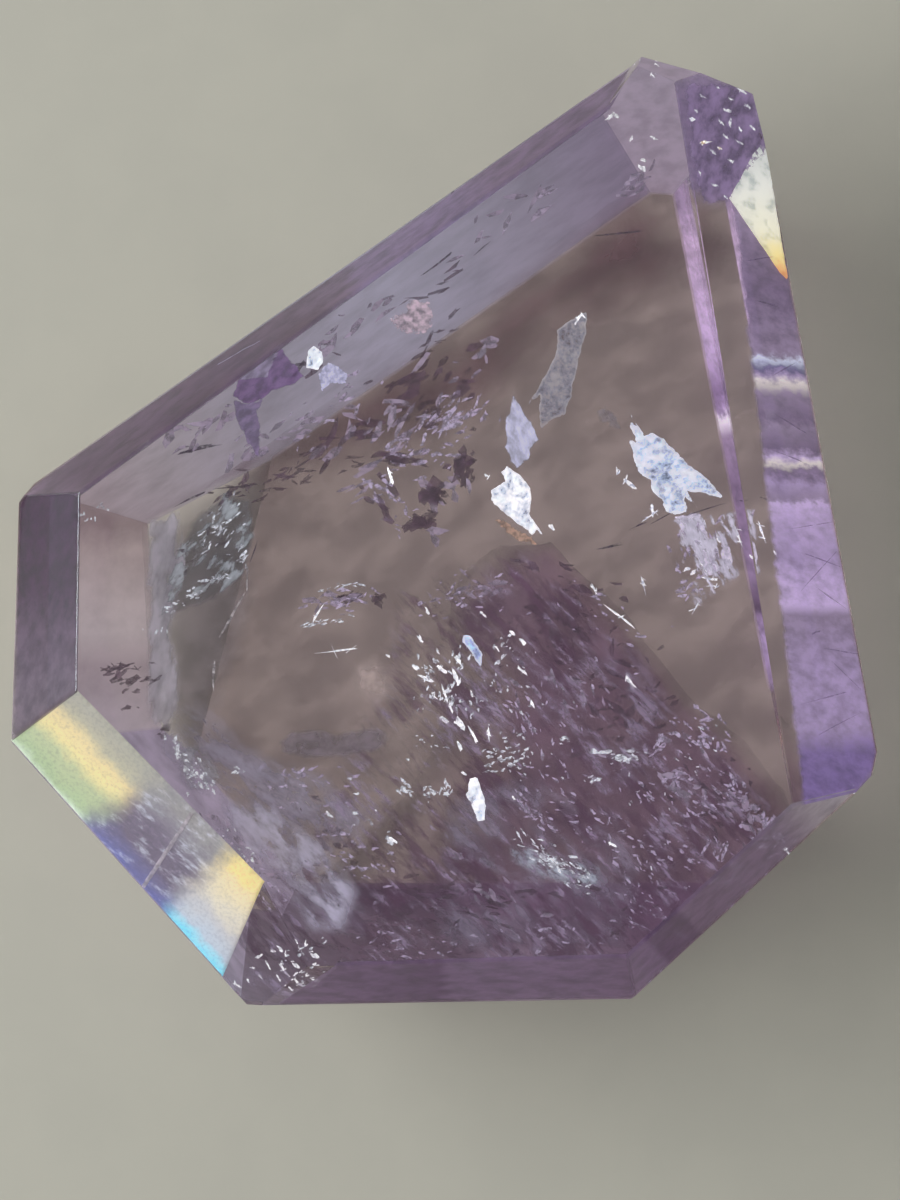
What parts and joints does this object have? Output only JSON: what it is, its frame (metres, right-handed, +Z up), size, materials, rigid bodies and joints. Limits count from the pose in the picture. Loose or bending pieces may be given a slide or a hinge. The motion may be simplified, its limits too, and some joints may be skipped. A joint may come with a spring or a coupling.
{
  "type": "amethyst palm stone",
  "caption": "Freeform faceted palm stone of clear pale purple quartz with a flat table, flat base, crown and pavilion facets, colour zones and silvery inner fractures.",
  "frame": {"origin": "centre of the bounding box in plan, on the plane of the flat base the stone rests on", "axes": "+Z up out of the table (the thin direction), +Y along the longest direction towards the pointed end, +X across, with the long slanted side on the -X +Y side"},
  "size_m": [0.0606, 0.0658, 0.0155],
  "materials": {
    "amethyst": "polished clear quartz, pale purple, with slightly worn facet edges"
  },
  "bodies": {
    "root": {"amethyst_stone": "amethyst"}
  },
  "joints": []
}
